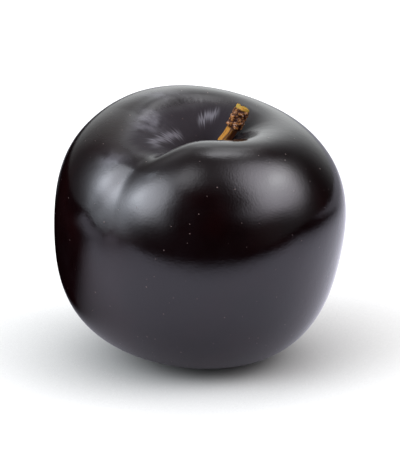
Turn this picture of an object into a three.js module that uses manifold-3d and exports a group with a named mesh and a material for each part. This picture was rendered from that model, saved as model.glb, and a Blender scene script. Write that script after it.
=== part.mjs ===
// A ripe black plum standing on its blossom end: the fruit, grown as one piece, and its stem.
//
// Lengths are in millimetres and angles in degrees. +Z is up, the suture runs down the front left (-X, -Y)
// and the stem leans to the right (+X). The origin is on the surface that the plum rests on, under the
// middle of its box.
import * as THREE from "three";
import { mergeVertices } from "three/addons/utils/BufferGeometryUtils.js";
import Module from "manifold-3d";

const { degToRad, radToDeg, smoothstep, clamp, lerp } = THREE.MathUtils;

// How the fruit stands.
const CENTRE_HEIGHT = 33.35; // from the surface up to the centre that the fruit is grown from
const SUTURE_TURN = 232; // the suture's heading, from +X towards +Y
const LEAN_FORWARD = 4;
const LEAN_RIGHT = 6.4;

// The flesh, as a distance from the fruit's centre.
const RADIUS = 30.7;
const END_SHARE = 0.0365; // how much further out the two ends lie
const LOW_SHARE = 0.063; // how much fuller the fruit is low down than high up
const SHOULDER_SHARE = 0.6; // how fast the shoulders round off towards the stem
const CHEEK = { turn: -119, tilt: 80, share: 0.08, power: 3 }; // the fuller cheek at the back
const BLOSSOM_END = { turn: 0, tilt: 180, share: 0.06, power: 24 }; // the low nib that it rests on

// The cavity round the stem. Its angles are measured at the fruit's centre, from the stem's axis.
const CAVITY_DEPTH = 22.5;
const CAVITY_SPREAD = 27;
const CAVITY_POWER = 2.17;
const CAVITY_FLOOR = 10; // how far above the fruit's centre the cavity ends
const FLOOR_ROUNDING = 1.5;

// The valley in which the suture leaves the cavity, wide on its left side and steep on its right.
const VALLEY_DEPTH = 10;
const VALLEY_SPREAD_LEFT = 24;
const VALLEY_SPREAD_RIGHT = 9;
const VALLEY_SIDE_BLEND = 8.6;
const VALLEY_POWER = 1.7;
const VALLEY_ROUNDING = 2.9;
const VALLEY_START = [-8.6, 25.8]; // from the stem's axis, along the suture
const VALLEY_END = [23, 62];

// The shallow groove in which the suture goes on down the flank.
const GROOVE_DEPTH = 1.5;
const GROOVE_SPREAD = 9.7;
const GROOVE_POWER = 1.5;
const GROOVE_ROUNDING = 1.7;
const GROOVE_START = [0, 28.6];
const GROOVE_END = [46, 126];
const SUTURE_BOW = 2.9; // how far the suture bows to the left

// The stem, from its foot on the cavity's floor to its tip.
const STEM_REACH = new THREE.Vector3(8.15, 1.7, 11.6); // from the foot to the tip
const STEM_BEND = new THREE.Vector3(2.9, 0.4, 5.4); // from the foot to where its line bends
const STEM_BURIED = 1.6; // how deep the foot stands in its socket
const STEM_FOOT_RADIUS = 1.35;
const STEM_RADIUS = 1.18;
const STEM_TIP_RADIUS = 0.9;
const HEAD_RADIUS = 1.75; // the warty head under the tip
const HEAD_PLACE = 0.8; // as a share of the stem's length
const HEAD_SPREAD = 0.16;
const HEAD_POWER = 4;
const KNOB_HEIGHT = 0.15;
const KNOBS_ROUND = 5;
const KNOB_ROWS = 9; // along the whole stem, of which the head shows its share
const SOCKET_GAP = 0.3;

// How finely the surfaces are divided.
const FRUIT_DETAIL = 18;
const STEM_SIDES = 18;
const STEM_RINGS = 28;

const skin = new THREE.MeshStandardMaterial({ color: "#1c0a10", roughness: 0.25, metalness: 0 });
const bark = new THREE.MeshStandardMaterial({ color: "#8f6128", roughness: 0.8, metalness: 0 });

const wasm = await Module();
wasm.setup();

// How deep a soft hollow is at some distance from its middle.
function hollow(depth, distance, spread, power) {
  return depth * Math.exp(-((distance / spread) ** power));
}

// 0 before a stretch of the suture, 1 after it.
function past(along, [start, end]) {
  return smoothstep(along, start, end);
}

// The share by which a lobe of the flesh stands out in a direction.
function fullness(direction, lobe) {
  const tilt = degToRad(lobe.tilt);
  const turn = degToRad(lobe.turn);
  const middle = new THREE.Vector3(
    Math.sin(tilt) * Math.cos(turn),
    Math.sin(tilt) * Math.sin(turn),
    Math.cos(tilt),
  );
  return lobe.share * Math.max(0, direction.dot(middle)) ** lobe.power;
}

// The distance from the fruit's centre to its skin, in a direction of the fruit's own frame: z runs to the
// stem and x to the suture.
function skinDistance(direction) {
  const { x, y, z } = direction;
  const girth = 1 - z * z;
  const round = 1 + END_SHARE * z * z - girth * z * (LOW_SHARE + SHOULDER_SHARE * z * z);
  const flesh = round + fullness(direction, CHEEK) + fullness(direction, BLOSSOM_END);

  const fromStem = radToDeg(Math.acos(clamp(z, -1, 1)));
  const cavity = hollow(CAVITY_DEPTH, fromStem, CAVITY_SPREAD, CAVITY_POWER);

  const along = radToDeg(Math.atan2(x, z));
  const bow = SUTURE_BOW * Math.sin(degToRad(clamp(along, 0, 180)));
  const across = radToDeg(Math.asin(clamp(y, -1, 1))) + bow;

  const rightSide = smoothstep(across, -VALLEY_SIDE_BLEND, VALLEY_SIDE_BLEND);
  const valleySpread = lerp(VALLEY_SPREAD_LEFT, VALLEY_SPREAD_RIGHT, rightSide);
  const valley =
    hollow(VALLEY_DEPTH, Math.hypot(across, VALLEY_ROUNDING), valleySpread, VALLEY_POWER) *
    past(along, VALLEY_START) *
    (1 - past(along, VALLEY_END));
  const groove =
    hollow(GROOVE_DEPTH, Math.hypot(across, GROOVE_ROUNDING), GROOVE_SPREAD, GROOVE_POWER) *
    past(along, GROOVE_START) *
    (1 - past(along, GROOVE_END));

  const hollowed = RADIUS * flesh - cavity - valley - groove;
  const aboveFloor = hollowed - CAVITY_FLOOR;
  return CAVITY_FLOOR + (aboveFloor + Math.hypot(aboveFloor, FLOOR_ROUNDING)) / 2;
}

// The fruit's own frame, turned and leaned as it stands.
const standing = new THREE.Matrix4()
  .makeRotationFromEuler(
    new THREE.Euler(degToRad(LEAN_FORWARD), degToRad(LEAN_RIGHT), degToRad(SUTURE_TURN), "XYZ"),
  )
  .setPosition(0, 0, CENTRE_HEIGHT);

// A point of the skin where the fruit stands, pressed flat where it meets the surface.
function skinPoint(direction) {
  const point = direction.clone().multiplyScalar(skinDistance(direction)).applyMatrix4(standing);
  point.z = Math.max(0, point.z);
  return point;
}

function makeFruit() {
  const geometry = new THREE.IcosahedronGeometry(1, FRUIT_DETAIL);
  const places = geometry.getAttribute("position");
  const direction = new THREE.Vector3();
  for (let i = 0; i < places.count; i++) {
    direction.fromBufferAttribute(places, i).normalize();
    places.setXYZ(i, ...skinPoint(direction));
  }
  return geometry;
}

// The stem's thickness, from 0 at the bottom of its foot to 1 at its tip.
function stemRadius(share) {
  const shaft = lerp(STEM_FOOT_RADIUS, STEM_RADIUS, smoothstep(share, 0.08, 0.3));
  const tapered = lerp(shaft, STEM_TIP_RADIUS, smoothstep(share, HEAD_PLACE, 1));
  return tapered + hollow(HEAD_RADIUS - STEM_RADIUS, Math.abs(share - HEAD_PLACE), HEAD_SPREAD, HEAD_POWER);
}

// How far the head's knobs stand out of the stem, at a share of its length and an angle round it.
function knobs(share, angle) {
  const rows = Math.sin(share * KNOB_ROWS * 2 * Math.PI);
  const round = Math.sin(KNOBS_ROUND * angle + share * KNOB_ROWS);
  return hollow(KNOB_HEIGHT * rows * round, Math.abs(share - HEAD_PLACE), HEAD_SPREAD, HEAD_POWER);
}

// The stem made thicker by a margin all over, lathed upright and then bent along its own line.
function makeStem(margin) {
  const foot = skinPoint(new THREE.Vector3(0, 0, 1));
  const rooting = STEM_BEND.clone().normalize().multiplyScalar(STEM_BURIED);
  const line = new THREE.QuadraticBezierCurve3(
    foot.clone().sub(rooting),
    foot.clone().add(STEM_BEND),
    foot.clone().add(STEM_REACH),
  );
  const length = line.getLength();

  const profile = [new THREE.Vector2(0, -margin)];
  for (let ring = 0; ring <= STEM_RINGS; ring++) {
    const share = ring / STEM_RINGS;
    const endMargin = ring === 0 ? -margin : ring === STEM_RINGS ? margin : 0;
    profile.push(new THREE.Vector2(stemRadius(share) + margin, share * length + endMargin));
  }
  profile.push(new THREE.Vector2(0, length + margin));

  const geometry = new THREE.LatheGeometry(profile, STEM_SIDES);
  const places = geometry.getAttribute("position");
  const front = new THREE.Vector3(0, -1, 0);
  for (let i = 0; i < places.count; i++) {
    const height = places.getY(i);
    const share = clamp(height / length, 0, 1);
    const angle = Math.atan2(places.getZ(i), places.getX(i));
    const radius = Math.hypot(places.getX(i), places.getZ(i));
    const knobbed = radius > 0 ? radius + knobs(share, angle) : 0;

    const tangent = line.getTangentAt(share);
    const side = new THREE.Vector3().crossVectors(tangent, front).normalize();
    const facing = new THREE.Vector3().crossVectors(side, tangent);
    const point = line
      .getPointAt(share)
      .addScaledVector(tangent, height - share * length)
      .addScaledVector(side, knobbed * Math.cos(angle))
      .addScaledVector(facing, knobbed * Math.sin(angle));
    places.setXYZ(i, ...point);
  }
  return geometry;
}

function toSolid(geometry) {
  const bare = geometry.clone();
  bare.deleteAttribute("normal");
  bare.deleteAttribute("uv");
  const merged = mergeVertices(bare, 1e-4);
  return new wasm.Manifold(
    new wasm.Mesh({
      numProp: 3,
      vertProperties: merged.getAttribute("position").array,
      triVerts: new Uint32Array(merged.index.array),
    }),
  );
}

function toGeometry(solid) {
  const { vertProperties, triVerts } = solid.getMesh();
  const geometry = new THREE.BufferGeometry();
  geometry.setAttribute("position", new THREE.BufferAttribute(vertProperties, 3));
  geometry.setIndex(new THREE.BufferAttribute(triVerts, 1));
  geometry.computeVertexNormals();
  return geometry;
}

function named(name, geometry, material) {
  const mesh = new THREE.Mesh(geometry, material);
  mesh.name = name;
  return mesh;
}

// The stem stands in a socket of its own shape in the cavity's floor, with the gap all round it.
const socketed = toSolid(makeFruit()).subtract(toSolid(makeStem(SOCKET_GAP)));

const plum = new THREE.Group();
plum.name = "plum";
plum.add(named("plum_fruit", toGeometry(socketed), skin));
plum.add(named("plum_stem", makeStem(0), bark));

// Put the origin under the middle of the plum.
const middle = new THREE.Box3().setFromObject(plum).getCenter(new THREE.Vector3());
plum.position.set(-middle.x, -middle.y, 0);

export default plum;
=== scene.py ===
"""A ripe black plum on a pale table, in soft studio light.

Named lengths are millimetres and named angles are degrees. MM turns a length into the scene's metres.
+Z is up, the suture runs down the front left (-X, -Y) and the stem leans to the right (+X). A named pair
whose name ends in EDGE, BEGINS or FADES holds where a soft step starts and where it is complete.
"""
import math

import bpy
from mathutils import Matrix, Vector


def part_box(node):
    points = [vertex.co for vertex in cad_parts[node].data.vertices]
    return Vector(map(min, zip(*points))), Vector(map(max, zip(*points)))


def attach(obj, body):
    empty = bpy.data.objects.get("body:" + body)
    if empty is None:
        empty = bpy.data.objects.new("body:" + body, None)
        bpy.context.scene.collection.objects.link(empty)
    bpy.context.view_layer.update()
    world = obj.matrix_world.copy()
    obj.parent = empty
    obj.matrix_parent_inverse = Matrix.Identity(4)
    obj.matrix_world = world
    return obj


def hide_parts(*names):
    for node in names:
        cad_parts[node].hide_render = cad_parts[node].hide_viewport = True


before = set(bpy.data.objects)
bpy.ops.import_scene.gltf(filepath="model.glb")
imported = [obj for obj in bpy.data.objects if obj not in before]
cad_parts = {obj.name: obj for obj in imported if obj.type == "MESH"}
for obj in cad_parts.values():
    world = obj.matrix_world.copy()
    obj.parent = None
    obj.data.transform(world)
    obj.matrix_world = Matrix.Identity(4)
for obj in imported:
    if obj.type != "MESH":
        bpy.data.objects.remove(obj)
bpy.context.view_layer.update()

MM = 0.001


def towards(turn, tilt):
    """The direction that is tilted from +Z and then turned from +X towards +Y, in degrees."""
    flat = math.sin(math.radians(tilt))
    turned = math.radians(turn)
    return Vector((flat * math.cos(turned), flat * math.sin(turned), math.cos(math.radians(tilt))))


# How the fruit stands.
CENTRE_HEIGHT = 33.35  # from the table up to the centre that the fruit is grown from
SUTURE_TURN = 232  # the suture's heading, from +X towards +Y
LEAN_FORWARD = 4
LEAN_RIGHT = 6.4
STANDING = (
    Matrix.Rotation(math.radians(LEAN_FORWARD), 3, "X")
    @ Matrix.Rotation(math.radians(LEAN_RIGHT), 3, "Y")
    @ Matrix.Rotation(math.radians(SUTURE_TURN), 3, "Z")
)

# The fruit's sizes. Angles are measured at its centre: from the stem's axis, along the suture from that
# axis, or across the suture. Shares are of the radius. What fans out from the stem is noise read on a ring
# round it, and a wider ring gives finer wrinkles, lines or feathers.
FRUIT = {
    "Rows": 129,  # of points along each edge of the cube that becomes the ball
    "Crowding towards the stem": 0.25,
    "Standing": STANDING.to_euler(),
    "Centre height": CENTRE_HEIGHT,
    # The flesh: a ball with raised shoulders, a fuller cheek at the back and a nib to stand on.
    "Radius": 30.68,
    "End share": 0.0365,
    "Low share": 0.063,
    "Shoulder share": 0.6,
    "Cheek": towards(-119, 80),
    "Cheek share": 0.08,
    "Cheek power": 3,
    "Blossom end share": 0.06,
    "Blossom end power": 24,
    # The cavity round the stem.
    "Cavity depth": 22.5,
    "Cavity spread": 27,
    "Cavity power": 2.17,
    "Cavity floor": 10,
    "Floor rounding": 1.5,
    # The valley in which the suture leaves the cavity, which is wider on its left side.
    "Valley depth": 10,
    "Valley spread left": 24,
    "Valley spread right": 9,
    "Valley side blend": 8.6,
    "Valley power": 1.7,
    "Valley rounding": 2.9,
    "Valley begins": -8.6,
    "Valley is deep": 25.8,
    "Valley closes": 23,
    "Valley ends": 62,
    # The groove of the suture down the flank, and the crease that leans out of it over the shoulder.
    "Groove depth": 1.5,
    "Groove spread": 9.7,
    "Groove power": 1.5,
    "Groove rounding": 1.0,
    "Groove begins": 0,
    "Groove is deep": 28.6,
    "Groove closes": 46,
    "Groove ends": 126,
    "Suture bow": 2.9,
    "Crease depth": 0.26,
    "Crease spread": 4.6,
    "Crease power": 1.5,
    "Crease rounding": 1.8,
    "Crease place": 5.4,
    "Crease lean": 0.34,
    "Crease begins": 46,
    "Crease is deep": 64,
    "Crease closes": 82,
    "Crease ends": 104,
    # The pit round the stem's foot, the wrinkles that run into the cavity, and the flesh's unevenness.
    "Pit depth": 0.7,
    "Pit spread": 13,
    "Pit power": 4,
    "Wrinkle height": 0.09,
    "Wrinkle ring": 26,
    "Wrinkle wander": 0.07,
    "Wrinkle fineness": 0.4,
    "Wrinkle place": 23,
    "Wrinkle spread": 8,
    "Unevenness": 0.05,
    "Unevenness size": 11,
}

# The stem, from its foot on the cavity's floor to its cut tip. Shares are of the stem's length.
STEM_REACH = Vector((7.65, 1.7, 11.1))  # from the foot to the tip
STEM_BEND = Vector((4.7, 0.7, 3.8))  # from the foot to where its line bends
STEM_BURIED = 1.6
STEM = {
    "Sides": 180,
    "Rows": 240,
    "Foot radius": 1.4,
    "Flare begins": 0.08,
    "Flare ends": 0.3,
    "Radius": 1.2,
    "Collar radius": 1.5,
    "Collar begins": 0.65,
    "Collar is full": 0.68,
    "Collar ends": 0.94,
    "Collar blend": 0.02,
    "Taper ends": 1.02,
    "Tip radius": 1.3,
    "Wart size": 0.7,
    "Wart reach": 0.7,  # in wart sizes
    "Wart height": 0.28,
    "Wart sway": (1.1, 0.55, -1.1),
    "Sway fineness": 1.3,
    "Ridges": 5,
    "Ridge height": 0.06,
    "Ridge wander": 5,
    "Ridge fineness": 0.8,
    "Fibre height": 0.16,
    "Fibre fineness": 2.2,
    "Lump height": 0.35,
    "Lump fineness": 0.6,
    "Cut slant": 0.3,
    "Cut hollow": 0.35,
    "Cut begins": 0.99,
    "Cut roughness": 1.2,
    "Cut fineness": 2.3,
}
LINE_POINTS = 64
CUT_RINGS = 10
FIBRE_STRETCH = (3, 3, 2)  # how fast the fibres change to the right, to the back and along the stem

# The skin's colour and shine.
SKIN_BLACK = (0.0026, 0.0005, 0.0007)
SKIN_RED = (0.0042, 0.0007, 0.0009)
RED_PATCH = 13
RED_EDGE = (-0.05, 0.2)
SKIN_ROUGHNESS = 0.11
SKIN_IOR = 1.5
SKIN_TINT = (0.94, 0.94, 1.0)

# The dusty inside of the cavity, with its reflections also tinted darker as painted shade, and the left
# shoulder, whose reflections are dimmed as painted shade. These ovals, like those of the bloom and the
# painted highlights, have their middle and their reach along and across the suture.
DUST_AND_SHADE_MIDDLE = (12, -6)
DUST_AND_SHADE_REACH = (44, 26)
DUST_AND_SHADE_EDGE = (0.8, 1.03)
DUST_ROUGHNESS = 0.62
# Painted shade: this tint darkens the reflections inside the cavity.
CAVITY_SHADE_TINT = (0.2, 0.185, 0.21)
DUST_COLOUR = (0.012, 0.009, 0.012)
FEATHER_RING = 24
FEATHER_LENGTH = 0.12
# Painted shade on the left shoulder: its reflections are dimmed and its finish made rougher.
SHADED_SHOULDER_MIDDLE = (44, -27)
SHADED_SHOULDER_REACH = (13, 17)
SHADED_SHOULDER_POWER = 3
SHADED_SHOULDER_ROUGHNESS = 0.3
SHADED_SHOULDER_TINT = (0.12, 0.12, 0.13)

# The pale bloom, a thin haze all over, and painted highlights in the bloom's colour: streaks on a ragged
# oval inside the cavity, and patches on ovals of their own.
BLOOM_AND_HIGHLIGHT_COLOUR = (0.30, 0.29, 0.33)
BLOOM_ALL_OVER = 0.004
BLOOM_CLOUD = 5
CLOUD_EDGE = (-0.25, 0.3)
STREAK_MIDDLE = (9.5, -1.5)
STREAK_REACH = (37.5, 21)
STREAK_WIDTH = 0.055
STREAK_FEATHERS = 0.32
STREAK_PAINTED_HIGHLIGHT = 0.34
# Painted highlights: feathered streaks that stand in for reflections on the cavity's walls.
HIGHLIGHT_STREAKS = [
    {"reach": 0.92, "heading": -40, "edge": (0.84, 0.97)},
    {"reach": 0.98, "heading": -135, "edge": (0.93, 0.99)},
]
# Painted highlights: soft pale patches that stand in for reflections on the skin.
HIGHLIGHT_PATCHES = [
    {"middle": (25, -26.5), "reach": (13, 4.4), "turn": 20, "painted_highlight": 0.55},
    {"middle": (61, -11), "reach": (4.5, 7), "turn": 0, "painted_highlight": 0.26},
    {"middle": (-3, -37), "reach": (17, 4.5), "turn": -34, "painted_highlight": 0.3},
]

# The pale pores, the scar under the fruit, and the skin's fine relief.
PORE_SPACING = 1.8
PORE_RADIUS = 0.17
PORE_SOLID = 0.6  # of its radius
PORE_FADED = 1.2
PORE_BLUR = 0.02
PORE_COVER = 0.8
PORE_COLOUR = (0.09, 0.06, 0.055)
PORE_HEIGHT = 0.01
SCAR_ANGLE = 2.2
SCAR_SOLID = 0.7  # of its angle
SCAR_COLOUR = (0.05, 0.03, 0.015)
PEBBLE_SIZE = 0.4
PEBBLE_HEIGHT = 0.014
DIMPLE_SIZE = 1.6
DIMPLE_HEIGHT = 0.014
WAVE_SIZE = 6
WAVE_HEIGHT = 0.03
LINE_RING = 120
LINE_WANDER = 0.25
LINE_HEIGHT = 0.006
DUSTY_LINES = 3  # how much higher the lines are where the skin is dusty
CLOUD_ROUGHENS = 0.03
PORE_ROUGHENS = 0.2

# The stem's finish, with painted shade on the wood's right side, painted light on the warts' tops and
# painted glints among the collar's pale flecks.
WOOD_GOLD = (0.34, 0.14, 0.005)
WOOD_RED = (0.050, 0.013, 0.003)
WOOD_FIBRES = 1.6
WOOD_EDGE = (-0.16, 0.12)
# Painted shade: the wood is painted redder and darker towards its right side.
WOOD_PAINTED_SHADE = 0.12
WOOD_PAINTED_SHADE_RIGHT = 0.11  # how fast the shade deepens towards the right side
# Painted light and shade on the collar: lighter warts' tops, darker gaps, and pale flecks that are partly
# painted glints.
COLLAR_DARK = (0.035, 0.008, 0.004)
COLLAR_GOLD = (0.22, 0.08, 0.012)
COLLAR_FLECK_AND_GLINT = (0.62, 0.42, 0.36)
COLLAR_GOLD_EDGE = (0.3, 0.95)
WART_TOP_PAINTED_LIGHT = 0.8
TONE_LIGHTENS = 0.4
MOTTLE_SIZE = 0.7
MOTTLE_LIGHTENS = 0.8
FLECK_SIZE = 0.3
FLECK_EDGE = (0.03, 0.14)
PALE_WART_EDGE = (0.35, 0.6)
WART_TOP_EDGE = (0.3, 0.8)
CUT_GOLD = (0.36, 0.18, 0.02)
CUT_GREEN = (0.28, 0.20, 0.025)
CUT_BEGINS = (-0.01, 0.03)  # measured from the collar's end
CUT_RIM_EDGE = (0.55, 0.95)
CUT_MOTTLE_SIZE = 0.6
CUT_MOTTLE_EDGE = (-0.1, 0.1)
GRAIN_FINENESS = 9.0
GRAIN_HEIGHT = 0.04
GRIT_SIZE = 0.12
GRIT_HEIGHT = 0.02
BARK_ROUGHNESS = 0.5
BARK_SHINE = 0.2

# The studio. A light's heading runs from the front round to the right, and its height is above the
# horizon. Its spans are the half-widths at which it has faded to about a third, and a higher edge number
# makes its edge crisper.
WHITE = (1, 1, 1)
COOL = (0.97, 1.0, 1.03)
BLUISH = (0.96, 1.03, 1.09)
MINTY = (0.97, 1.0, 1.0)
GREENISH = (1.0, 1.04, 0.98)
ROSY = (1.03, 0.99, 1.03)
ROSIER = (1.03, 0.98, 1.03)
LIGHTS = [
    # On the left: two wide panels, and small ones at their middle, top and foot.
    {"heading": -54, "height": 37, "wide": 19, "high": 25, "edge": 3.6, "power": 6.2, "tint": COOL},
    {"heading": -80, "height": 29, "wide": 19, "high": 18, "edge": 1.7, "power": 7.3, "tint": BLUISH},
    {"heading": -78, "height": 34, "wide": 8, "high": 11, "edge": 2, "power": 2.2, "tint": WHITE},
    {"heading": -94, "height": 54, "wide": 5, "high": 5, "edge": 2.4, "power": 2.1, "tint": BLUISH},
    {"heading": -80, "height": 4, "wide": 14, "high": 10, "edge": 2.4, "power": 0.9, "tint": BLUISH},
    {"heading": -34, "height": 16, "wide": 8, "high": 10, "edge": 1.8, "power": 1.0, "tint": COOL},
    # High at the front, just below the cavity's near rim.
    {"heading": -20, "height": 69, "wide": 9, "high": 13, "edge": 2.8, "power": 2.1, "tint": WHITE},
    # On the right: a wide panel with a low neighbour, a brighter band and a faint glow round them.
    {"heading": 83, "height": 41, "wide": 23, "high": 25, "edge": 4, "power": 5.0, "tint": ROSY},
    {"heading": 56, "height": 26, "wide": 15, "high": 11, "edge": 2.4, "power": 1.7, "tint": ROSIER},
    {"heading": 91, "height": 42, "wide": 12, "high": 7, "edge": 1.6, "power": 3.9, "tint": GREENISH},
    {"heading": 72, "height": 22, "wide": 34, "high": 41, "edge": 4.2, "power": 0.18, "tint": WHITE},
    # Behind: small high ones for the cavity's rims, a low panel for the shoulders, and soft ones above it.
    {"heading": 161, "height": 52, "wide": 6, "high": 7, "edge": 2.8, "power": 1.4, "tint": WHITE},
    {"heading": 149, "height": 64, "wide": 8, "high": 8, "edge": 2, "power": 3.4, "tint": WHITE},
    {"heading": 150, "height": 72, "wide": 5, "high": 5, "edge": 2.4, "power": 2.0, "tint": WHITE},
    {"heading": 175, "height": 19, "wide": 23, "high": 28, "edge": 2.2, "power": 1.65, "tint": MINTY},
    {"heading": 178, "height": 44, "wide": 6, "high": 7, "edge": 1.6, "power": 1.0, "tint": MINTY},
    {"heading": -153, "height": 56, "wide": 16, "high": 14, "edge": 2, "power": 0.6, "tint": WHITE},
]
LIGHT_EDGE = (0, 0.3)  # the cosines that keep a light from shining from the opposite side too
CEILING = 0.3
CEILING_BEGINS = (45, 75)
DARK_ROOM = 0.005

# The table. It is pale to the camera, and it lights the plum from below: with a pool that has a dark side on
# the left, a weaker spill further out on the left, and a faint light behind, for the plum's upper edge.
TABLE = {"left": -1200, "right": 1200, "front": -110, "back": 1600}
TABLE_TONE = 0.3
TABLE_ROUGHNESS = 0.9
TABLE_GLOW = 0.86  # to the camera
POOL_BRIGHT = 1.55
POOL_TINT = (0.94, 0.93, 1.07)
POOL_FADES = (60, 280)
POOL_FRONT_FADES = (66, 114)
POOL_TURN = 0.2  # how much nearer its front edge lies on the right
DARK_LEFT_BEGINS = (14, 40)
DARK_BACK_BEGINS = (-38, 12)
SPILL_BRIGHT = 0.9
SPILL_BEGINS = (150, 260)
SPILL_FADES = (400, 600)
SPILL_FRONT_FADES = (60, 110)
SPILL_BACK_FADES = (0, 80)
BEHIND_BRIGHT = 0.45
BEHIND_BEGINS = (110, 190)
BEHIND_LEFT_FADES = (40, 90)
SHADE_REACH = 90
SHADE_SAMPLES = 8
SHADE_POWER = 2  # how quickly the shade deepens for the camera
POOL_SHADE_POWER = 1.4  # and for the plum

# The camera. The picture's centre looks at a point above the table's origin.
CAMERA_HEIGHT = 17.5  # degrees above the horizon
CAMERA_DISTANCE = 1000
LOOKED_AT_HEIGHT = 27.6
PIXEL = 0.212  # how much of the plum one pixel of the picture covers
PICTURE_HEIGHT = 457
SENSOR = 36.0


class Wire:
    """An output of a node. Arithmetic with wires and numbers adds the nodes that work it out."""

    def __init__(self, socket):
        self.socket = socket
        self.tree = socket.id_data

    def math(self, operation, *others):
        return Wire(add_node(self.tree, "ShaderNodeMath", self, *others, operation=operation).outputs[0])

    def vector_math(self, operation, *others, output="Vector"):
        node = add_node(self.tree, "ShaderNodeVectorMath", self, *others, operation=operation)
        return Wire(node.outputs[output])

    def __add__(self, other):
        return self.math("ADD", other)

    def __sub__(self, other):
        return self.math("SUBTRACT", other)

    def __rsub__(self, other):
        return -self + other

    def __mul__(self, other):
        return self.math("MULTIPLY", other)

    def __truediv__(self, other):
        return self.math("DIVIDE", other)

    def __rtruediv__(self, other):
        return self ** -1 * other

    def __pow__(self, other):
        return self.math("POWER", other)

    def __neg__(self):
        return self * -1

    __radd__ = __add__
    __rmul__ = __mul__

    def limited(self, low, high):
        return self.math("MAXIMUM", low).math("MINIMUM", high)

    def past(self, start, end):
        """0 before start and 1 after end, with a smooth step between them."""
        values = {"Value": self, "From Min": start, "From Max": end}
        node = add_node(self.tree, "ShaderNodeMapRange", named=values, interpolation_type="SMOOTHSTEP")
        return Wire(node.outputs["Result"])

    def parts(self):
        split = add_node(self.tree, "ShaderNodeSeparateXYZ", self)
        return [Wire(output) for output in split.outputs]

    def dot(self, other):
        return self.vector_math("DOT_PRODUCT", other, output="Value")

    def unit(self):
        return self.vector_math("NORMALIZE")

    def scaled(self, factor):
        """A vector times a number."""
        node = add_node(self.tree, "ShaderNodeVectorMath", self, named={"Scale": factor}, operation="SCALE")
        return Wire(node.outputs["Vector"])

    def plus(self, other):
        """A vector plus a vector."""
        return self.vector_math("ADD", other)


def add_node(tree, kind, *values, named=None, **settings):
    """Adds a node with its settings, and feeds its inputs in their order or by their names."""
    node = tree.nodes.new(kind)
    for name, setting in settings.items():
        setattr(node, name, setting)
    feeds = list(zip(node.inputs, values))
    feeds += [(node.inputs[name], value) for name, value in (named or {}).items()]
    for socket, value in feeds:
        if isinstance(value, Wire):
            tree.links.new(value.socket, socket)
        else:
            socket.default_value = value
    return node


def joined(x, y, z):
    """A vector wire from three parts, of which at least one is a wire."""
    tree = next(part.tree for part in (x, y, z) if isinstance(part, Wire))
    return Wire(add_node(tree, "ShaderNodeCombineXYZ", x, y, z).outputs[0])


def hypotenuse(a, b):
    return (a * a + b * b).math("SQRT")


def blended(amount, start, end):
    """The start where the amount is 0 and the end where it is 1."""
    return start + (end - start) * amount


def faded(full, distance, spread=1, power=2):
    """What is left of a full amount at a distance from its middle. At its spread, that is about a third."""
    return full * (-((distance / spread) ** power)).math("EXPONENT")


def noise(place, scale, detail=2.0, roughness=0.5):
    """Cloudy noise round 0, mostly within -0.3 to 0.3."""
    values = {"Vector": place, "Scale": scale, "Detail": detail, "Roughness": roughness}
    return Wire(add_node(place.tree, "ShaderNodeTexNoise", named=values).outputs[0]) - 0.5


def cells(place, scale, output="Distance"):
    """A scatter of points: the distance to the nearest one, or another output of it."""
    values = {"Vector": place, "Scale": scale}
    return Wire(add_node(place.tree, "ShaderNodeTexVoronoi", named=values).outputs[output])


def geometry_tree(name, sizes):
    """A new Geometry Nodes tree with an input for each named size. Gives the tree and those inputs."""
    tree = bpy.data.node_groups.new(name, "GeometryNodeTree")
    for label, value in sizes.items():
        kind = "NodeSocketVector" if hasattr(value, "__len__") else "NodeSocketFloat"
        tree.interface.new_socket(label, in_out="INPUT", socket_type=kind)
    tree.interface.new_socket("Mesh", in_out="OUTPUT", socket_type="NodeSocketGeometry")
    source = tree.nodes.new("NodeGroupInput")
    return tree, {label: Wire(source.outputs[label]) for label in sizes}


def step(mesh, kind, **values):
    """A geometry node on a mesh wire. The values' names are the node's inputs, with _ for a space."""
    named = {name.replace("_", " "): value for name, value in values.items()}
    return Wire(add_node(mesh.tree, kind, mesh, named=named).outputs[0])


def noted(mesh, name, value, data_type="FLOAT"):
    """Keeps a value at each point of the mesh under a name, for the materials."""
    named = {"Geometry": mesh, "Name": name, "Value": value}
    node = add_node(mesh.tree, "GeometryNodeStoreNamedAttribute", named=named, data_type=data_type)
    return Wire(node.outputs[0])


def end_tree(mesh, material):
    """Gives the tree its result: smooth faces, no instances, and the material."""
    mesh = step(mesh, "GeometryNodeSetShadeSmooth")
    mesh = step(mesh, "GeometryNodeRealizeInstances")
    mesh = step(mesh, "GeometryNodeSetMaterial", Material=material)
    add_node(mesh.tree, "NodeGroupOutput", mesh)


def grown(name, tree, sizes):
    """The tree's result as a plain mesh, on an object of its own."""
    piece = bpy.data.objects.new(name, bpy.data.meshes.new(name))
    bpy.context.scene.collection.objects.link(piece)
    modifier = piece.modifiers.new(tree.name, "NODES")
    modifier.node_group = tree
    for socket in tree.interface.items_tree:
        if socket.in_out == "INPUT":
            value = sizes[socket.name]
            modifier[socket.identifier] = list(value) if hasattr(value, "__len__") else float(value)
    depsgraph = bpy.context.evaluated_depsgraph_get()
    finished = piece.evaluated_get(depsgraph)
    mesh = bpy.data.meshes.new_from_object(finished, preserve_all_data_layers=True, depsgraph=depsgraph)
    piece.modifiers.clear()
    piece.data = mesh
    return piece


def skin_angles(direction, size):
    """Where a direction lies in the fruit's own frame, in which z runs to the stem and x to the suture: its
    angles from the stem's axis, along the suture from that axis, and across the suture."""
    x, y, z = direction.parts()
    from_stem = z.limited(-1, 1).math("ARCCOSINE").math("DEGREES")
    along = x.math("ARCTAN2", z).math("DEGREES")
    bow = size["Suture bow"] * along.limited(0, 180).math("RADIANS").math("SINE")
    across = y.limited(-1, 1).math("ARCSINE").math("DEGREES") + bow
    return from_stem, along, across


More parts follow.
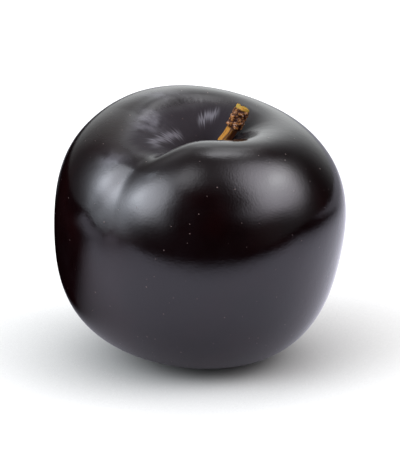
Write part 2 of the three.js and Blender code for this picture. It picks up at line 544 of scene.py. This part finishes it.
def skin_distance(direction, angles, size):
    """How far the skin lies from the fruit's centre in a direction."""
    from_stem, along, across = angles
    z = direction.parts()[2]
    girth = 1 - z * z
    lean = girth * z * (size["Low share"] + size["Shoulder share"] * z * z)
    body = size["End share"] * z * z - lean + 1
    cheek = size["Cheek share"] * direction.dot(size["Cheek"]).math("MAXIMUM", 0) ** size["Cheek power"]
    blossom_end = size["Blossom end share"] * (-z).math("MAXIMUM", 0) ** size["Blossom end power"]
    flesh = size["Radius"] * (body + cheek + blossom_end)

    cavity = faded(size["Cavity depth"], from_stem, size["Cavity spread"], size["Cavity power"])

    right_side = across.past(-size["Valley side blend"], size["Valley side blend"])
    valley_spread = blended(right_side, size["Valley spread left"], size["Valley spread right"])
    from_valley = hypotenuse(across, size["Valley rounding"])
    valley = faded(size["Valley depth"], from_valley, valley_spread, size["Valley power"])
    valley *= along.past(size["Valley begins"], size["Valley is deep"])
    valley *= 1 - along.past(size["Valley closes"], size["Valley ends"])

    from_groove = hypotenuse(across, size["Groove rounding"])
    groove = faded(size["Groove depth"], from_groove, size["Groove spread"], size["Groove power"])
    groove *= along.past(size["Groove begins"], size["Groove is deep"])
    groove *= 1 - along.past(size["Groove closes"], size["Groove ends"])

    above_floor = flesh - cavity - valley - groove - size["Cavity floor"]
    return size["Cavity floor"] + (above_floor + hypotenuse(above_floor, size["Floor rounding"])) / 2


def skin_details(direction, angles, size):
    """The skin's small forms: the pit round the stem, the crease of the suture, fine wrinkles that run down
    into the cavity, and the soft unevenness of the flesh."""
    x, y, _ = direction.parts()
    from_stem, along, across = angles
    crease_place = size["Crease place"] - size["Crease lean"] * (along - size["Crease begins"])
    from_crease = hypotenuse(across - crease_place, size["Crease rounding"])
    crease = faded(size["Crease depth"], from_crease, size["Crease spread"], size["Crease power"])
    crease *= along.past(size["Crease begins"], size["Crease is deep"])
    crease *= 1 - along.past(size["Crease closes"], size["Crease ends"])

    pit = faded(size["Pit depth"], from_stem, size["Pit spread"], size["Pit power"])

    fan_x, fan_y, _ = joined(x, y, 0).unit().scaled(size["Wrinkle ring"]).parts()
    fan = joined(fan_x, fan_y, from_stem * size["Wrinkle wander"])
    where = faded(1, (from_stem - size["Wrinkle place"]).math("ABSOLUTE"), size["Wrinkle spread"])
    wrinkles = size["Wrinkle height"] * where * noise(fan, size["Wrinkle fineness"], detail=1.0)

    unevenness = size["Unevenness"] * noise(direction.scaled(size["Radius"] / size["Unevenness size"]), 1.0)
    return wrinkles + unevenness - pit - crease


def fruit_tree(skin):
    """Grows the fruit from a ball of nearly even faces by moving each point out to the skin. Then it stands
    the fruit on the table, where its lowest points are pressed flat."""
    tree, size = geometry_tree("grow the fruit", FRUIT)
    rows = size["Rows"]
    cube = add_node(tree, "GeometryNodeMeshCube", (2, 2, 2), rows, rows, rows)
    place = Wire(tree.nodes.new("GeometryNodeInputPosition").outputs[0])
    even = joined(*[(part * (math.pi / 4)).math("TANGENT") for part in place.parts()]).unit()
    direction = even.plus(joined(0, 0, size["Crowding towards the stem"])).unit()

    angles = skin_angles(direction, size)
    distance = skin_distance(direction, angles, size) + skin_details(direction, angles, size)
    mesh = Wire(cube.outputs["Mesh"])
    for name, value in zip(("from_stem", "along_suture", "across_suture"), angles):
        mesh = noted(mesh, name, value)
    mesh = noted(mesh, "own_direction", direction, "FLOAT_VECTOR")
    mesh = step(mesh, "GeometryNodeSetPosition", Position=direction.scaled(distance))

    raised = joined(0, 0, size["Centre height"])
    mesh = step(mesh, "GeometryNodeTransform", Translation=raised, Rotation=size["Standing"])
    x, y, z = place.parts()
    pressed = joined(x, y, z.math("MAXIMUM", 0)).scaled(MM)
    mesh = step(mesh, "GeometryNodeSetPosition", Position=pressed)
    end_tree(mesh, skin)
    return tree


def make_fruit(skin):
    """The fruit, standing where the solid one stands."""
    fruit = grown("fruit", fruit_tree(skin), FRUIT)
    low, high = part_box("plum_fruit")
    corners = [Vector(corner) for corner in fruit.bound_box]
    middle = sum(corners, Vector()) / len(corners)
    shift = (low + high) / 2 - middle
    fruit.data.transform(Matrix.Translation((shift.x, shift.y, 0)))
    return fruit


def stem_foot(fruit):
    """The point of the cavity's floor that the stem's axis meets, in millimetres, with the pit filled."""
    angles = fruit.data.attributes["from_stem"].data
    nearest = min(range(len(angles)), key=lambda index: angles[index].value)
    axis = STANDING @ Vector((0, 0, 1))
    return fruit.data.vertices[nearest].co / MM + axis * FRUIT["Pit depth"]


def stem_line(foot):
    """The three points that shape the stem's line, from its buried end to its tip, in millimetres."""
    root = foot - STEM_BEND.normalized() * STEM_BURIED
    return {"Root": root, "Bend": foot + STEM_BEND, "Tip": foot + STEM_REACH}


def stem_radius(share, size):
    """The stem's thickness: a shaft that flares at its foot, a thick collar of bark, and a tapering tip."""
    past_flare = share.past(size["Flare begins"], size["Flare ends"])
    shaft = blended(past_flare, size["Foot radius"], size["Radius"])
    collar = share.past(size["Collar begins"], size["Collar is full"])
    thick = blended(collar, shaft, size["Collar radius"])
    return blended(share.past(size["Collar ends"], size["Taper ends"]), thick, size["Tip radius"])


def stem_relief(place, x, y, share, fibre_place, size):
    """How high the stem's small forms stand at each place, and how the warts rise and differ there."""
    in_collar = share.past(size["Collar begins"], size["Collar is full"])
    collar_ends = size["Collar ends"]
    in_collar *= 1 - share.past(collar_ends - size["Collar blend"], collar_ends + size["Collar blend"])

    swayed = place.plus(size["Wart sway"].scaled(noise(place, size["Sway fineness"])))
    wart = 1 - (cells(swayed, 1 / size["Wart size"]) / size["Wart reach"]) ** 2
    wart_tone = cells(swayed, 1 / size["Wart size"], output="Color").parts()[0]

    wander = noise(fibre_place, size["Ridge fineness"]) * size["Ridge wander"]
    ridges = (y.math("ARCTAN2", x) * size["Ridges"] + wander).math("SINE")
    fibres = noise(fibre_place, size["Fibre fineness"]) * size["Fibre height"]
    fibres += ridges * size["Ridge height"]
    lumps = noise(place, size["Lump fineness"]) * size["Lump height"]
    relief = wart * in_collar * size["Wart height"] + fibres * (1 - in_collar) + lumps
    return relief, wart, wart_tone


def stem_cut(x, y, share, fullness, size):
    """How far the tip's slanting, hollow, ragged cut stands out along the stem."""
    inside = (1 - fullness * fullness) * share.past(size["Cut begins"], 1.0)
    ragged = noise(joined(x, y, 0), size["Cut fineness"], detail=3.0) * size["Cut roughness"]
    cut = ragged - size["Cut slant"] * (x + 1) / 2 - size["Cut hollow"] * inside
    return cut * share.past(size["Collar ends"], 1.0)


def stem_tree(sizes, bark):
    """Grows the stem from an upright drum of points, by setting each out from the stem's own bent line."""
    tree, size = geometry_tree("grow the stem", sizes)
    drum = add_node(tree, "GeometryNodeMeshCylinder", size["Sides"], size["Rows"], CUT_RINGS, 1, 1)
    x, y, z = Wire(tree.nodes.new("GeometryNodeInputPosition").outputs[0]).parts()
    share = z + 0.5
    fullness = hypotenuse(x, y)

    ends = (size["Root"], size["Bend"], size["Tip"])
    line = add_node(tree, "GeometryNodeCurveQuadraticBezier", LINE_POINTS, *ends)
    named = {"Curves": Wire(line.outputs[0]), "Factor": share}
    on_line = add_node(tree, "GeometryNodeSampleCurve", named=named)
    centre = Wire(on_line.outputs["Position"])
    tangent = Wire(on_line.outputs["Tangent"])
    side = tangent.vector_math("CROSS_PRODUCT", (0, -1, 0)).unit()
    facing = side.vector_math("CROSS_PRODUCT", tangent)
    outward = side.scaled(x).plus(facing.scaled(y))

    place = centre.plus(outward.scaled(stem_radius(share, size)))
    right, back, along = FIBRE_STRETCH
    fibre_place = joined(x * right, y * back, share * along)
    relief, wart, wart_tone = stem_relief(place, x, y, share, fibre_place, size)
    cut = stem_cut(x, y, share, fullness, size)
    place = place.plus(outward.scaled(relief * fullness)).plus(tangent.scaled(cut))

    mesh = Wire(drum.outputs["Mesh"])
    for name, value in (("wart", wart), ("wart_tone", wart_tone), ("share", share), ("fullness", fullness)):
        mesh = noted(mesh, name, value)
    mesh = noted(mesh, "fibre_place", fibre_place, "FLOAT_VECTOR")
    mesh = step(mesh, "GeometryNodeSetPosition", Position=place.scaled(MM))
    end_tree(mesh, bark)
    return tree


def make_stem(foot, bark):
    """The stem, standing on the cavity's floor."""
    sizes = {**STEM, **stem_line(foot)}
    return grown("stem", stem_tree(sizes, bark), sizes)


def shader_tree(name):
    """A new material with its node tree and its main shader."""
    material = bpy.data.materials.new(name)
    material.use_nodes = True
    tree = material.node_tree
    return material, tree, tree.nodes["Principled BSDF"]


def note(tree, name, output="Fac"):
    """A value that the mesh keeps at its points, as a wire."""
    node = add_node(tree, "ShaderNodeAttribute", attribute_name=name)
    return Wire(node.outputs[output])


def own_place(tree):
    """Where a point lies, in millimetres."""
    return Wire(tree.nodes.new("ShaderNodeTexCoord").outputs["Object"]).scaled(1 / MM)


def mixed(amount, start, end):
    """Two colours mixed, of which either may be a wire."""
    node = amount.tree.nodes.new("ShaderNodeMix")
    node.data_type = "RGBA"
    factor, first, second = node.inputs[0], node.inputs[6], node.inputs[7]
    for socket, value in ((factor, amount), (first, start), (second, end)):
        if isinstance(value, Wire):
            node.id_data.links.new(value.socket, socket)
        else:
            socket.default_value = (*value, 1)
    return Wire(node.outputs[2])


def feed(shader, **values):
    """Sets a shader's inputs, named with _ for a space, to numbers, colours or wires."""
    for name, value in values.items():
        socket = shader.inputs[name.replace("_", " ")]
        if isinstance(value, Wire):
            value.tree.links.new(value.socket, socket)
        else:
            socket.default_value = (*value, 1) if hasattr(value, "__len__") else value


def relief_from(height):
    """A normal bent by a height in millimetres."""
    values = {"Height": height * MM, "Distance": 1.0, "Strength": 1.0}
    return Wire(add_node(height.tree, "ShaderNodeBump", named=values).outputs[0])


def skin_oval(tree, middle, reach, turn=0):
    """A distance from the middle of an oval on the skin, which is 1 at the oval's edge."""
    along = note(tree, "along_suture") - middle[0]
    across = note(tree, "across_suture") - middle[1]
    level, rise = math.cos(math.radians(turn)), math.sin(math.radians(turn))
    lengthwise = (along * level + across * rise) / reach[0]
    sideways = (across * level - along * rise) / reach[1]
    return hypotenuse(lengthwise, sideways)


def skin_bloom_and_highlights(tree, fan, feathers, cloud):
    """How much of the pale bloom's colour covers the skin: ragged streaks and soft patches, which are
    painted highlights, and a thin haze of bloom.
    """
    ragged_oval = skin_oval(tree, STREAK_MIDDLE, STREAK_REACH) + feathers * STREAK_FEATHERS
    streaks = 0
    for streak in HIGHLIGHT_STREAKS:
        from_streak = (ragged_oval - streak["reach"]).math("ABSOLUTE")
        stretch = fan.dot(towards(streak["heading"], 90)).past(*streak["edge"])
        streaks += faded(1, from_streak, STREAK_WIDTH) * stretch
    patches = 0
    for patch in HIGHLIGHT_PATCHES:
        patches += faded(patch["painted_highlight"], skin_oval(tree, patch["middle"], patch["reach"], patch["turn"]))
    return streaks * STREAK_PAINTED_HIGHLIGHT + cloud * (patches + BLOOM_ALL_OVER)


def skin_pores(place):
    """1 in the skin's small pores and 0 between them."""
    distance = cells(place, 1 / PORE_SPACING) * PORE_SPACING
    radius = cells(place, 1 / PORE_SPACING, output="Color").parts()[0] * PORE_RADIUS
    return 1 - distance.past(radius * PORE_SOLID, radius * PORE_FADED + PORE_BLUR)


def skin_height(place, fan, from_stem, dust_and_shade, pores):
    """The skin's fine relief: pebbles, dimples, waves, raised pores, and lines that run from the stem."""
    pebbles = noise(place, 1 / PEBBLE_SIZE) * PEBBLE_HEIGHT
    dimples = noise(place, 1 / DIMPLE_SIZE) * DIMPLE_HEIGHT
    waves = noise(place, 1 / WAVE_SIZE, detail=1.0) * WAVE_HEIGHT
    fan_x, fan_y, _ = fan.scaled(LINE_RING).parts()
    lines = noise(joined(fan_x, fan_y, from_stem * LINE_WANDER), 1.0) * LINE_HEIGHT
    return pebbles + dimples + waves + lines * (1 + dust_and_shade * DUSTY_LINES) + pores * PORE_HEIGHT


def make_skin():
    """Nearly black, glossy skin: a little redder in patches, with pale pores, fine lines that run from the
    stem, a thin pale bloom with painted highlights in its colour, and a dusty inside to the cavity, whose
    edge is feathered along those lines. Painted shade darkens the reflections inside the cavity and on the
    left shoulder."""
    skin, tree, shader = shader_tree("plum skin")
    place = own_place(tree)
    from_stem = note(tree, "from_stem")
    x, y, _ = note(tree, "own_direction", "Vector").parts()
    fan = joined(x, y, 0).unit()

    feathers = noise(fan.scaled(FEATHER_RING), 1.0)
    # The cavity's dusty inside, which also carries painted shade through the tint below.
    dust_and_shade = 1 - (skin_oval(tree, DUST_AND_SHADE_MIDDLE, DUST_AND_SHADE_REACH) + feathers * FEATHER_LENGTH).past(*DUST_AND_SHADE_EDGE)
    # Painted shade: the left shoulder's reflections are dimmed.
    shaded_shoulder = faded(1, skin_oval(tree, SHADED_SHOULDER_MIDDLE, SHADED_SHOULDER_REACH), power=SHADED_SHOULDER_POWER) * (1 - dust_and_shade)
    redness = noise(place, 1 / RED_PATCH).past(*RED_EDGE)
    cloud = noise(place, 1 / BLOOM_CLOUD, detail=4.0, roughness=0.6).past(*CLOUD_EDGE)
    pores = skin_pores(place)
    scar = 1 - (180 - from_stem).past(SCAR_ANGLE * SCAR_SOLID, SCAR_ANGLE)

    colour = mixed(redness, SKIN_BLACK, SKIN_RED)
    colour = mixed(dust_and_shade, colour, DUST_COLOUR)
    # The pale bloom, with its painted highlights.
    colour = mixed(skin_bloom_and_highlights(tree, fan, feathers, cloud), colour, BLOOM_AND_HIGHLIGHT_COLOUR)
    colour = mixed(pores * PORE_COVER, colour, PORE_COLOUR)
    colour = mixed(scar, colour, SCAR_COLOUR)
    roughness = SKIN_ROUGHNESS + dust_and_shade * (DUST_ROUGHNESS - SKIN_ROUGHNESS)
    roughness += cloud * CLOUD_ROUGHENS + pores * PORE_ROUGHENS
    roughness += shaded_shoulder * (SHADED_SHOULDER_ROUGHNESS - SKIN_ROUGHNESS)
    # Painted shade: the reflections are tinted darker inside the cavity and on the left shoulder.
    tint = mixed(shaded_shoulder, mixed(dust_and_shade, SKIN_TINT, CAVITY_SHADE_TINT), SHADED_SHOULDER_TINT)
    bent = relief_from(skin_height(place, fan, from_stem, dust_and_shade, pores))
    feed(shader, Base_Color=colour, Roughness=roughness, IOR=SKIN_IOR, Specular_Tint=tint, Normal=bent)
    return skin


def collar_colour(place, wart, tone):
    """Brown warts with tone that differs at random, painted lighter on their tops and darker between them as
    painted light and shade, and on some of them pale flecks on their tops, which are partly painted glints.
    """
    mottle = noise(place, 1 / MOTTLE_SIZE, detail=3.0) * MOTTLE_LIGHTENS
    # Painted light on the warts' tops, mixed with tone that differs at random and with mottle.
    light = (wart * WART_TOP_PAINTED_LIGHT + tone * TONE_LIGHTENS + mottle).past(*COLLAR_GOLD_EDGE)
    # Pale flecks on the warts' tops, which are partly painted glints.
    flecks_and_glints = noise(place, 1 / FLECK_SIZE).past(*FLECK_EDGE) * tone.past(*PALE_WART_EDGE)
    flecks_and_glints *= wart.past(*WART_TOP_EDGE)
    return mixed(flecks_and_glints, mixed(light, COLLAR_DARK, COLLAR_GOLD), COLLAR_FLECK_AND_GLINT)


def make_bark():
    """Dry golden wood with red-brown fibres and painted shade on its right side, a warty brown collar with
    painted light on the warts' tops and pale flecks that are partly painted glints, and a greenish cut.
    """
    bark, tree, shader = shader_tree("stem bark")
    place = own_place(tree)
    fibre_place = note(tree, "fibre_place", "Vector")
    share = note(tree, "share")
    collar_begins, blend = STEM["Collar begins"], STEM["Collar blend"]
    in_collar = share.past(collar_begins - blend, collar_begins + blend)
    cut = share.past(*[STEM["Collar ends"] + past_end for past_end in CUT_BEGINS])

    # Painted shade: fewer golden fibres towards the right side.
    painted_side_shade = fibre_place.parts()[0] * WOOD_PAINTED_SHADE_RIGHT + WOOD_PAINTED_SHADE
    fibres = (noise(fibre_place, WOOD_FIBRES, detail=4.0) - painted_side_shade).past(*WOOD_EDGE)
    wood = mixed(fibres, WOOD_RED, WOOD_GOLD)
    collar = collar_colour(place, note(tree, "wart"), note(tree, "wart_tone"))
    green = noise(place, 1 / CUT_MOTTLE_SIZE).past(*CUT_MOTTLE_EDGE)
    green *= note(tree, "fullness").past(*CUT_RIM_EDGE)
    colour = mixed(in_collar, wood, collar)
    colour = mixed(cut, colour, mixed(green, CUT_GOLD, CUT_GREEN))

    grain = noise(fibre_place, GRAIN_FINENESS, detail=3.0) * GRAIN_HEIGHT
    bent = relief_from(grain + noise(place, 1 / GRIT_SIZE) * GRIT_HEIGHT)
    feed(shader, Base_Color=colour, Roughness=BARK_ROUGHNESS, Specular_IOR_Level=BARK_SHINE, Normal=bent)
    return bark


def pointing(light):
    """Unit vectors to a light, to its right and to its top, as seen from the plum."""
    heading = math.radians(light["heading"])
    height = math.radians(light["height"])
    level = math.cos(height)
    ahead = Vector((level * math.sin(heading), -level * math.cos(heading), math.sin(height)))
    right = ahead.cross(Vector((0, 0, 1))).normalized()
    return ahead, right, right.cross(ahead)


def glow(direction, light):
    """A soft light's brightness in a direction."""
    ahead, right, top = pointing(light)
    across = direction.dot(right) / math.sin(math.radians(light["wide"]))
    upward = direction.dot(top) / math.sin(math.radians(light["high"]))
    brightness = faded(light["power"], hypotenuse(across, upward), power=light["edge"])
    return brightness * direction.dot(ahead).past(*LIGHT_EDGE)


def make_studio():
    """Soft lights on the walls and ceiling of a dark room, with a white backdrop behind the plum."""
    world = bpy.data.worlds.new("studio")
    bpy.context.scene.world = world
    world.use_nodes = True
    tree = world.node_tree
    direction = Wire(tree.nodes.new("ShaderNodeTexCoord").outputs["Object"]).unit()
    height = direction.parts()[2].limited(-1, 1).math("ARCSINE").math("DEGREES")
    ceiling = height.past(*CEILING_BEGINS) * CEILING + DARK_ROOM
    brightness = joined(ceiling, ceiling, ceiling)
    for light in LIGHTS:
        brightness = brightness.plus(joined(*[glow(direction, light) * tint for tint in light["tint"]]))
    seen = Wire(tree.nodes.new("ShaderNodeLightPath").outputs["Is Camera Ray"])
    brightness = brightness.vector_math("MAXIMUM", joined(seen, seen, seen))
    feed(tree.nodes["Background"], Color=brightness)


def light_from_below(right, back):
    """How bright the table is for the plum, at a place to the right of and behind the plum's middle."""
    left, front = -right, -back
    pool = POOL_BRIGHT * (1 - hypotenuse(right, back).past(*POOL_FADES))
    pool *= 1 - (right * POOL_TURN - back).past(*POOL_FRONT_FADES)
    pool *= 1 - left.past(*DARK_LEFT_BEGINS) * back.past(*DARK_BACK_BEGINS)
    spill = SPILL_BRIGHT * left.past(*SPILL_BEGINS) * (1 - left.past(*SPILL_FADES))
    spill *= (1 - front.past(*SPILL_FRONT_FADES)) * (1 - back.past(*SPILL_BACK_FADES))
    behind = BEHIND_BRIGHT * back.past(*BEHIND_BEGINS) * (1 - left.past(*BEHIND_LEFT_FADES))
    return pool + spill + behind


def make_floor():
    """A pale table that lights the plum from below, and is shaded softly round the plum's foot."""
    floor = bpy.data.objects.new("table", bpy.data.meshes.new("table"))
    bpy.context.scene.collection.objects.link(floor)
    left, right, front, back = [TABLE[side] * MM for side in ("left", "right", "front", "back")]
    corners = [(left, front, 0), (right, front, 0), (right, back, 0), (left, back, 0)]
    floor.data.from_pydata(corners, [], [(0, 1, 2, 3)])
    white, tree, shader = shader_tree("pale table")
    floor.data.materials.append(white)

    x, y, _ = own_place(tree).parts()
    seen = Wire(tree.nodes.new("ShaderNodeLightPath").outputs["Is Camera Ray"])
    named = {"Distance": SHADE_REACH * MM}
    shade_node = add_node(tree, "ShaderNodeAmbientOcclusion", named=named, samples=SHADE_SAMPLES)
    open_to_light = Wire(shade_node.outputs["AO"])
    for_plum = light_from_below(x, y) * open_to_light ** POOL_SHADE_POWER
    for_camera = TABLE_GLOW * open_to_light ** SHADE_POWER
    tone = seen * TABLE_TONE
    feed(shader, Base_Color=joined(tone, tone, tone), Roughness=TABLE_ROUGHNESS, Specular_IOR_Level=0.0)
    feed(shader, Emission_Color=mixed(seen, POOL_TINT, WHITE))
    feed(shader, Emission_Strength=blended(seen, for_plum, for_camera))


def make_camera():
    """The camera, a little above the plum, and plain colours."""
    camera = bpy.data.objects.new("camera", bpy.data.cameras.new("camera"))
    bpy.context.scene.collection.objects.link(camera)
    height = math.radians(CAMERA_HEIGHT)
    to_camera = Vector((0, -math.cos(height), math.sin(height)))
    camera.location = Vector((0, 0, LOOKED_AT_HEIGHT * MM)) + to_camera * (CAMERA_DISTANCE * MM)
    camera.rotation_euler = to_camera.to_track_quat("Z", "Y").to_euler()
    camera.data.sensor_width = SENSOR
    camera.data.lens = SENSOR * CAMERA_DISTANCE / (PICTURE_HEIGHT * PIXEL)
    bpy.context.scene.camera = camera
    bpy.context.scene.view_settings.view_transform = "Standard"


make_camera()
make_studio()
make_floor()
fruit = make_fruit(make_skin())
stem = make_stem(stem_foot(fruit), make_bark())

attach(fruit, "root")
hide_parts("plum_fruit")
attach(stem, "root")
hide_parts("plum_stem")
